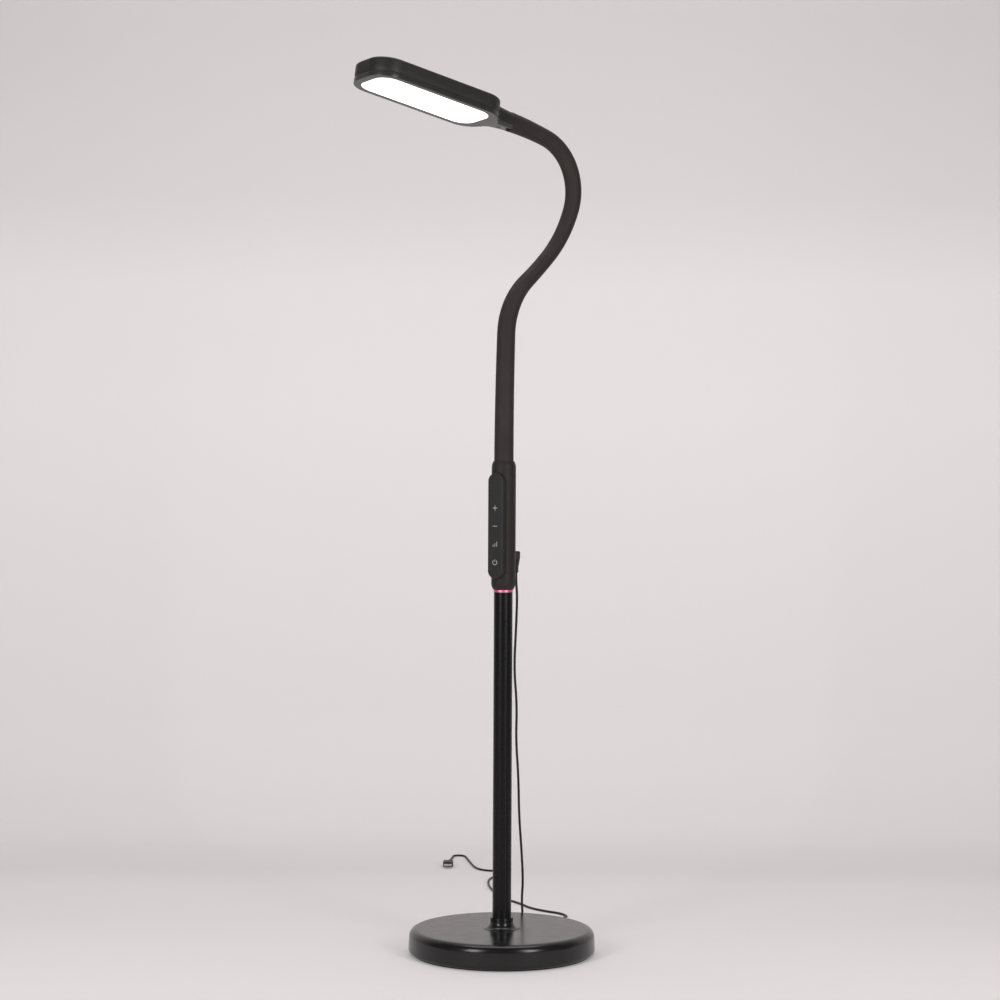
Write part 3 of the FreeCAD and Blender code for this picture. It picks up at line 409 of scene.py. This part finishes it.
PANEL_L, PANEL_W, PANEL_CORNER = 160.0, 62.0, 20.0
FRAME_ENDS, FRAME_SIDES, FRAME_CORNER = 10.0, 7.0, 8.0      # the casing is larger than the panel by these
HEAD_L, HEAD_W = PANEL_L + 2 * FRAME_ENDS, PANEL_W + 2 * FRAME_SIDES
HEAD_CORNER = PANEL_CORNER + FRAME_CORNER
HEAD_T = 23.4
NECK_END_EXTRA = 3.5                    # the casing is longer by this at the neck's end
YOKE_LEN = 33.1                         # the panel's frame to the sleeve's end
HEAD_REACH = HEAD_L / 2 + YOKE_LEN
HEAD_AXIS_Z = 12.2                      # the lit face to the neck's centreline
HEAD_TWIST = math.radians(-3.0)
SEAM_Z, SEAM_GAP = 6.0, 0.15
LIP = 2.4                               # the halves close this far inside the seam
TOP_R, LOW_R, YOKE_LOW_R = 3.2, 1.0, 7.0
# The yoke's sections: distance past the panel's frame, half width, upper corner radius, underside.
YOKE_SECTIONS = ((-16.0, 18.5, 6.0, 0.0), (1.5, 17.2, 6.4, 0.0), (9.0, 14.6, 8.0, 0.4),
                 (20.0, 12.7, 9.5, 1.2), (YOKE_LEN, 12.0, 11.2, 2.0))
YOKE_TABLE = [(HEAD_L / 2 + past, *sizes) for past, *sizes in YOKE_SECTIONS]
YOKE_START, YOKE_FLAT_TO = YOKE_TABLE[0][0], YOKE_TABLE[1][0]
HALF_WIDTH, UPPER_R, UNDERSIDE = 1, 2, 3                    # the table's columns
YOKE_DROP, YOKE_DROP_RUN = 0.3, 13.0    # the top falls by one over the other
SHELL_FALL_X = HEAD_L / 2 + 20.0        # ... from here on
WALL_DRAFT, DRAFT_TOP = 0.7, 13.0       # the side wall draws in by one below the other
WALL_STEPS, WALL_LEFT = 6, 0.4          # at least this much of the wall stays straight above its draft
SHELL_CHAMFER, SHELL_SOFT = 0.5, 0.15   # at the seam, with its edge softened by the other
FRAME_CHAMFER, FRAME_SOFT = 0.3, (0.08, 0.1)
FRAME_WALL_TOP, FRAME_ROUND_TOP = 0.35, 0.5     # the wall and the lower round end this far below the seam
CORNER_BLEND = 5.0                      # the yoke runs into the head's corner over this on each side
YOKE_EASE = (-1.0, 9.0)                 # ... and its edges go from the head's to its own between these
SCREW_X, SCREW_HOLE_R, SCREW_FLOOR = HEAD_L / 2 + 18.0, 2.8, 2.3
SCREW_POINTS = 48
ARC = 10                                # steps in a quarter circle
SIDE_STEPS, YOKE_STEPS = 30, 120
SAME_PLACE = 1e-4                       # points of the outline that are closer than this are one
FACE_EDGE = 0.4                         # a flat strip before each large face keeps its shading flat
OPENING_ROUND = 0.25


def head_matrix():
    """From the head's own frame in mm to the scene's in metres."""
    end, along = neck_at(NECK_END)
    pitch = math.atan2(along.z, -along.x)
    return (Matrix.Scale(1 / MM, 4) @ Matrix.Translation(end) @ Matrix.Rotation(pitch, 4, "Y")
            @ Matrix.Rotation(HEAD_TWIST, 4, "X") @ Matrix.Translation((-HEAD_REACH, 0, -HEAD_AXIS_Z)))


def between(table, x, column):
    """A smooth curve through one column of a table whose first column is x."""
    i = max(k for k in range(len(table) - 1) if table[k][0] <= x or k == 0)
    (x0, y0), (x1, y1) = ((table[k][0], table[k][column]) for k in (i, i + 1))

    def slope(k):
        a, b = max(k - 1, 0), min(k + 1, len(table) - 1)
        return (table[b][column] - table[a][column]) / (table[b][0] - table[a][0])
    t, h = min(max((x - x0) / (x1 - x0), 0), 1), x1 - x0
    return ((2 * t ** 3 - 3 * t ** 2 + 1) * y0 + (t ** 3 - 2 * t ** 2 + t) * h * slope(i)
            + (3 * t ** 2 - 2 * t ** 3) * y1 + (t ** 3 - t ** 2) * h * slope(i + 1))


def ease(t):
    """From 0 to 1, level at both ends."""
    t = min(max(t, 0.0), 1.0)
    return t * t * (3 - 2 * t)


def half_outline():
    """The outline on the +Y side, from the tip to the yoke's end, and where the yoke meets the head."""
    far, near = HEAD_CORNER - HEAD_L / 2, HEAD_L / 2 - HEAD_CORNER + NECK_END_EXTRA
    side = HEAD_W / 2 - HEAD_CORNER
    head = arc(far, side, HEAD_CORNER, 180, 90, 3 * ARC)
    head += [Vector((far + (near - far) * i / SIDE_STEPS, HEAD_W / 2)) for i in range(1, SIDE_STEPS)]
    corner = arc(near, side, HEAD_CORNER, 90, 0, 12 * ARC)
    meet = next(i for i, p in enumerate(corner)
                if p.x > YOKE_START and p.y < between(YOKE_TABLE, p.x, HALF_WIDTH))
    start = corner[meet]
    yoke = [Vector((start.x + (HEAD_REACH - start.x) * i / YOKE_STEPS, 0)) for i in range(YOKE_STEPS + 1)]
    for p in yoke:
        p.y = between(YOKE_TABLE, p.x, HALF_WIDTH)
    before = [p for p in corner[:meet] if (p - start).length > CORNER_BLEND]
    after = [p for p in yoke if (p - start).length > CORNER_BLEND]
    a, b = before[-1], after[0]
    bend = [(1 - t) ** 2 * a + 2 * t * (1 - t) * start + t * t * b
            for t in (i / ARC for i in range(1, ARC))]
    return head + before[::3] + [before[-1]] + bend + after[:-1:4] + [after[-1]], start


def outline_frames(outline, meet):
    """Each point of the half outline with its inward normal and how far it is into the yoke, 0 to 1."""
    points = [p for i, p in enumerate(outline) if i == 0 or (p - outline[i - 1]).length > SAME_PLACE]
    frames = []
    for i, p in enumerate(points):
        back = points[i] - points[i - 1] if i else Vector((0, 1))
        ahead = points[i + 1] - points[i] if i + 1 < len(points) else Vector((1, 0))
        along = (back.normalized() + ahead.normalized()).normalized()
        past = math.copysign((p - meet).length, p.x - meet.x if p.y < meet.y else -1)
        begin, end = YOKE_EASE
        frames.append((p, Vector((along.y, -along.x)), ease((past - begin) / (end - begin))))
    return frames


def skin(name, profile, material, caps, holes=(None, None)):
    """A closed skin. profile(x, yoke) lists (inset, z) from one cap's edge to the other's. caps lists the
    ends of the profile, 0 and -1, in the order that they are closed in. holes makes the inner rims of
    a cap, in the head and in the yoke."""
    verts, columns = [], []
    for p, inward, yoke in FRAMES:
        column = []
        for inset, z in profile(p.x, yoke):
            q = p + inward * inset
            column.append(len(verts))
            verts.append(Vector((q.x, q.y, z)))
        columns.append(column)
    half = len(verts)
    verts += [Vector((v.x, -v.y, v.z)) for v in verts]
    mirrored = [[i + half for i in column] for column in columns]
    loop = mirrored[::-1] + columns
    faces = []
    for a, b in zip(loop, loop[1:]):
        for j in range(len(a) - 1):
            faces.append((a[j], b[j], b[j + 1], a[j + 1]))
    faces.append(tuple(columns[-1]) + tuple(reversed(mirrored[-1])))
    for end in caps:
        edge = [column[end] for column in loop]
        over_head = [i for i in edge if verts[i].x <= YOKE_FLAT_TO]
        first, last = edge.index(over_head[0]), edge.index(over_head[-1])
        for rim, hole in zip((over_head, edge[last:] + edge[:first + 1]), holes):
            inner = hole(verts, faces, verts[rim[0]].z) if hole else []
            rims = [rim, inner] if inner else [rim]
            flat = [i for r in rims for i in r]
            level = [[Vector((verts[i].x, verts[i].y, 0)) for i in r] for r in rims]
            for triangle in geometry.tessellate_polygon(level):
                faces.append(tuple(flat[i] for i in triangle))
    matrix = head_matrix()
    obj = new_mesh(name, [matrix @ v for v in verts], faces, material)
    turn_out(obj)
    return obj


def turn_out(obj):
    """Turns every face of a closed mesh outwards."""
    mesh = bmesh.new()
    mesh.from_mesh(obj.data)
    bmesh.ops.recalc_face_normals(mesh, faces=mesh.faces)
    mesh.to_mesh(obj.data)
    mesh.free()


def panel_ring(grow, z):
    """The panel's rounded outline, grown by a distance, at a height."""
    corner = PANEL_CORNER + grow
    x, y = PANEL_L / 2 - PANEL_CORNER, PANEL_W / 2 - PANEL_CORNER
    ring = []
    for turn, (sx, sy) in enumerate(((1, 1), (-1, 1), (-1, -1), (1, -1))):
        ring += arc(sx * x, sy * y, corner, 90 * turn, 90 * (turn + 1), 2 * ARC)
    return [Vector((p.x, p.y, z)) for p in ring]


def add_rings(verts, faces, rings):
    """Joins rings of equal count, each a list of points, and returns the indices of each."""
    made = []
    for ring in rings:
        made.append(list(range(len(verts), len(verts) + len(ring))))
        verts.extend(ring)
    for a, b in zip(made, made[1:]):
        for i in range(len(a)):
            j = (i + 1) % len(a)
            faces.append((a[i], a[j], b[j], b[i]))
    return made


def window(verts, faces, z):
    """The panel's opening, made with the lit face's cap. Its last ring serves the cap at the seam."""
    if z > SEAM_Z / 2:
        return WINDOW_TOP[0]
    steps = ((FACE_EDGE + OPENING_ROUND, 0.0), (OPENING_ROUND, 0.0), (0.07, 0.07), (0.0, OPENING_ROUND),
             (0.0, SEAM_Z - SEAM_GAP))
    made = add_rings(verts, faces, [panel_ring(grow, up) for grow, up in steps])
    WINDOW_TOP[:] = [made[-1]]
    return made[0]


def screw_well(verts, faces, z):
    """The recess of the yoke's screw, in the underside alone."""
    if z > SEAM_Z / 2:
        return []
    rings = []
    for grow, lift in ((0.35, 0.0), (0.15, 0.0), (0.0, 0.15), (0.0, None)):
        ring = arc(SCREW_X, 0, SCREW_HOLE_R + grow, 0, 360 - 360 / SCREW_POINTS, SCREW_POINTS - 1)
        rings.append([Vector((p.x, p.y, SCREW_FLOOR if lift is None
                              else between(YOKE_TABLE, p.x, UNDERSIDE) + lift)) for p in ring])
    made = add_rings(verts, faces, rings)
    faces.append(tuple(made[-1]))
    return made[0]


def low_edge(x, yoke):
    """The radius of the lower edge at a place on the outline, and the height of the underside."""
    return LOW_R + (YOKE_LOW_R - LOW_R) * yoke, between(YOKE_TABLE, max(x, YOKE_FLAT_TO), UNDERSIDE)


def low_inset(x, yoke, z):
    """How far the rounded lower edge lies inside the outline at a height."""
    radius, bottom = low_edge(x, yoke)
    short = min(max(bottom + radius - z, 0.0), radius)
    return radius - math.sqrt(radius * radius - short * short)


def shell_profile(x, yoke):
    """The upper half, from the seam up to the edge of its top."""
    radius = TOP_R + (between(YOKE_TABLE, max(x, YOKE_FLAT_TO), UPPER_R) - TOP_R) * yoke
    top = HEAD_T - YOKE_DROP * ease((x - SHELL_FALL_X) / YOKE_DROP_RUN)
    draft = WALL_DRAFT * (1 - yoke)
    low = SEAM_Z + SEAM_GAP
    wall_end = top - radius
    first = low + SHELL_CHAMFER
    edge = low_inset(x, yoke, low)
    profile = [(edge + LIP, low), (edge + draft + SHELL_CHAMFER, low),
               (low_inset(x, yoke, low + SHELL_SOFT) + draft + SHELL_SOFT, first - SHELL_SOFT)]
    knee = min(DRAFT_TOP, wall_end - WALL_LEFT)
    for i in range(WALL_STEPS + 1):
        t = i / WALL_STEPS
        z = first + (knee - first) * t
        profile.append((low_inset(x, yoke, z) + draft * (1 - t) ** 2, z))
    z = (knee + wall_end) / 2
    profile.append((low_inset(x, yoke, z), z))
    for i in range(ARC + 1):
        a = math.pi / 2 * i / ARC
        profile.append((radius * (1 - math.cos(a)), wall_end + radius * math.sin(a)))
    return profile + [(radius + FACE_EDGE, top)]


def frame_profile(x, yoke):
    """The lower half, from the seam down to the edge of the lit face."""
    radius, bottom = low_edge(x, yoke)
    high = SEAM_Z - SEAM_GAP
    edge = low_inset(x, yoke, high)
    soft_in, soft_down = FRAME_SOFT
    wall_top = high - FRAME_WALL_TOP
    round_top = min(bottom + radius, high - FRAME_ROUND_TOP)
    middle = (wall_top + round_top) / 2
    profile = [(edge + LIP, high), (edge + FRAME_CHAMFER, high), (edge + soft_in, high - soft_down),
               (low_inset(x, yoke, wall_top), wall_top), (low_inset(x, yoke, middle), middle)]
    first = math.asin((bottom + radius - round_top) / radius)
    for i in range(ARC + 1):
        a = first + (math.pi / 2 - first) * i / ARC
        profile.append((radius * (1 - math.cos(a)), bottom + radius - radius * math.sin(a)))
    return profile + [(radius + FACE_EDGE, bottom)]


def stand_for(obj, body, slot, *nodes):
    """Makes a piece move with a body, in place of the CAD nodes named."""
    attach(obj, body)
    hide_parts(*nodes)


FRAMES = outline_frames(*half_outline())
WINDOW_TOP = []
stand_for(skin("casing_top", shell_profile, mat_head, (0, -1)), "head", "head_black", "head_shell")
stand_for(skin("casing_frame", frame_profile, mat_bezel, (-1, 0), (window, screw_well)),
          "head", "bezel_black", "head_bezel")


def panel():
    """The opal sheet: a softly rounded edge just under the frame's face."""
    verts, faces = [], []
    steps = ((-0.2, 1.6), (-0.2, 0.55), (-0.28, 0.37), (-0.45, 0.3), (-1.2, 0.3))
    made = add_rings(verts, faces, [panel_ring(grow, up) for grow, up in steps])
    faces += [tuple(made[0]), tuple(made[-1])]
    matrix = head_matrix()
    obj = new_mesh("opal_sheet", [matrix @ v for v in verts], faces, mat_panel)
    turn_out(obj)
    return obj


stand_for(panel(), "head", "diffuser_white", "diffuser")


# ---- Signs on the touch strip ----

STRIP_TURN = math.radians(24.0)
STRIP_FACE = 20.8
SIGN_T, SIGN_SUNK = 0.06, 0.02          # how far a sign stands off the strip and reaches into it
SIGN_STROKE = 0.5


def on_strip(right, up, lift):
    """A point on the strip's face: mm to the right as seen from the front, height, and lift off it."""
    c, s = math.cos(STRIP_TURN), math.sin(STRIP_TURN)
    u, v = -(STRIP_FACE + lift), -right
    return Vector((c * u - s * v, s * u + c * v, up)) / MM


def stroke(verts, faces, points):
    """A flat band along points (right, up), raised off the strip."""
    base = len(verts)
    for i, (px, pz) in enumerate(points):
        before, after = points[max(i - 1, 0)], points[min(i + 1, len(points) - 1)]
        d = Vector((after[0] - before[0], after[1] - before[1])).normalized()
        w = Vector((-d.y, d.x)) * SIGN_STROKE / 2
        for sx, lift in ((1, -SIGN_SUNK), (1, SIGN_T), (-1, SIGN_T), (-1, -SIGN_SUNK)):
            verts.append(on_strip(px + sx * w.x, pz + sx * w.y, lift))
    end = len(verts) - 4
    for a in range(base, end, 4):
        for j in range(4):
            k = (j + 1) % 4
            faces.append((a + j, a + k, a + 4 + k, a + 4 + j))
    faces.append(tuple(base + j for j in (3, 2, 1, 0)))
    faces.append(tuple(end + j for j in range(4)))


def sign(name, strokes):
    """A sign made of open strokes, each a list of points."""
    verts, faces = [], []
    for points in strokes:
        stroke(verts, faces, points)
    obj = new_mesh(name, verts, faces, mat_sign, smooth=False)
    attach(obj, "stand")


POWER_UP = 472.1
MODE_UP, MINUS_UP, PLUS_UP = 493.9, 515.6, 537.3
PLUS_HALF = 3.1
MODE_BARS, MODE_FOOT = ((-2.5, 2.2), (0, 4.0), (2.5, 5.8)), 2.9     # place and height of each bar
POWER_R, POWER_STEPS = 2.9, 28
POWER_GAP, POWER_BAR = 40, (0.6, 3.4)   # half the ring's gap in degrees, and the bar's foot and head


def level_bar(up):
    """The level stroke of the plus and minus signs."""
    return [(-PLUS_HALF, up), (PLUS_HALF, up)]


sign("sign_plus", [level_bar(PLUS_UP), [(0, PLUS_UP + PLUS_HALF), (0, PLUS_UP - PLUS_HALF)]])
sign("sign_minus", [level_bar(MINUS_UP)])
sign("sign_mode", [[(right, MODE_UP - MODE_FOOT), (right, MODE_UP - MODE_FOOT + height)]
                   for right, height in MODE_BARS])
sign("sign_power", [arc(0, POWER_UP, POWER_R, 90 + POWER_GAP, 450 - POWER_GAP, POWER_STEPS),
                    [(0, POWER_UP + POWER_BAR[1]), (0, POWER_UP + POWER_BAR[0])]])


# ---- Floor, backdrop and light ----

PAPER = (214, 209, 209)
PAPER_MARKS = (190, 184, 184)
# Painted light and painted shade on the paper, for the camera and for reflections of it, by the distance
# along the sheet in
# metres from the object: floor, bend, then wall. The floor grows darker away from the object to a painted
# shade band short of the bend, and the wall is brightest part way up and darker towards its top. It lights
# nothing.
PAINTED_PAPER_LIGHT = ((-0.2, 0.18), (0.0, 0.17), (0.2, 0.14), (0.45, 0.14), (0.6, 0.11), (0.8, 0.14),
              (1.0, 0.145), (1.1, 0.17), (1.2, 0.21), (1.7, 0.25), (1.9, 0.23), (2.05, 0.145),
              (2.35, 0.07))
PAINTED_LIGHT_TINT = (1.04, 1.0, 1.0)


def stage_material():
    """Pale studio paper, with painted light and painted shade along it that only the camera, mirrors and
    clear pieces see.
    """
    n = Nodes("studio_paper")
    c, s = math.cos(CAM_TURN), math.sin(CAM_TURN)
    along = n.add("ShaderNodeVectorMath", {0: n.coords, 1: (s, c, 1.0)},
                  operation="DOT_PRODUCT").outputs["Value"]
    low, high = PAINTED_PAPER_LIGHT[0][0], PAINTED_PAPER_LIGHT[-1][0]
    place = n.add("ShaderNodeMapRange", {"Value": along, "From Min": low, "From Max": high}).outputs[0]
    painted_light_ramp = n.add("ShaderNodeValToRGB", {"Fac": place})
    stops = painted_light_ramp.color_ramp.elements
    for i, (where, glow) in enumerate(PAINTED_PAPER_LIGHT):
        position = (where - low) / (high - low)
        stop = stops[i] if i < 2 else stops.new(position)
        stop.position = position
        stop.color = tuple(glow * tint for tint in PAINTED_LIGHT_TINT) + (1.0,)
    # Only camera, glossy and transmission rays see the painted light and painted shade.
    rays = n.add("ShaderNodeLightPath").outputs
    seen = rays["Is Camera Ray"]
    for kind in ("Is Glossy Ray", "Is Transmission Ray"):
        seen = n.add("ShaderNodeMath", {0: seen, 1: rays[kind]}, operation="MAXIMUM").outputs[0]
    cloud = n.spread(n.noise(1.5, 4.0), 0.0, 0.03)
    tone = n.mix(cloud, srgb(*PAPER), srgb(*PAPER_MARKS))
    return n.link(Base_Color=tone, Roughness=n.spread(n.noise(30.0), 0.75, 0.85),
                  Emission_Color=painted_light_ramp.outputs["Color"], Emission_Strength=seen,
                  Normal=n.bump(n.noise(600.0, 2.0), 0.05, 0.0005))


WALL_AHEAD, BEND_R, BEND_STEPS = 1.0, 0.2, 24
PAPER_BACK, PAPER_TOP, PAPER_HALF = 6.0, 5.0, 8.0           # its reach to the front, up and to each side
PAPER_UNDER = 0.0002                    # it lies this far under the lamp's foot


def backdrop():
    """A sheet of paper: floor in front, a bend, and a wall behind, square to the camera."""
    start = WALL_AHEAD - BEND_R
    profile = [(-PAPER_BACK, 0.0), (start, 0.0)]
    for i in range(1, BEND_STEPS + 1):
        a = math.pi / 2 * i / BEND_STEPS
        profile.append((start + BEND_R * math.sin(a), BEND_R - BEND_R * math.cos(a)))
    profile.append((WALL_AHEAD, PAPER_TOP))
    verts, faces = [], []
    for ahead, up in profile:
        for right in (-PAPER_HALF, PAPER_HALF):
            verts.append((*view_to_row(right, ahead), up - PAPER_UNDER))
    for i in range(len(profile) - 1):
        faces.append((2 * i, 2 * i + 1, 2 * i + 3, 2 * i + 2))
    obj = new_mesh("backdrop", verts, faces, stage_material())


backdrop()


BOX_ASIDE, BOX_BACK, BOX_UP, BOX_SIZE, BOX_WATTS = 1.29, 1.78, 1.0, (0.55, 1.3), 20.0
TOP_PLACE, TOP_SIZE, TOP_WATTS = (0.0, 0.2, 2.8), (2.4, 1.2), 26.0
LIT_POINT = (0.0, 0.0, 0.5)
WORLD_TONE, WORLD_STRENGTH = (222, 217, 217), 0.22


def area_light(name, right, ahead, up, size, power):
    """A rectangular lamp, placed in the camera's directions and turned to the middle of the object."""
    data = bpy.data.lights.new(name, "AREA")
    data.shape = "RECTANGLE"
    data.size, data.size_y = size
    data.energy = power
    obj = bpy.data.objects.new(name, data)
    px, py = view_to_row(right, ahead)
    obj.location = (px, py, up)
    obj.rotation_euler = (Vector(LIT_POINT) - obj.location).to_track_quat("-Z", "Y").to_euler()
    bpy.context.scene.collection.objects.link(obj)


area_light("softbox_left", -BOX_ASIDE, -BOX_BACK, BOX_UP, BOX_SIZE, BOX_WATTS)
area_light("softbox_right", BOX_ASIDE, -BOX_BACK, BOX_UP, BOX_SIZE, BOX_WATTS)
area_light("overhead", *TOP_PLACE, TOP_SIZE, TOP_WATTS)

world = bpy.data.worlds.new("studio")
world.use_nodes = True
sky = world.node_tree.nodes["Background"]
sky.inputs["Color"].default_value = srgb(*WORLD_TONE)
sky.inputs["Strength"].default_value = WORLD_STRENGTH
bpy.context.scene.world = world
bpy.context.scene.view_settings.view_transform = "Standard"
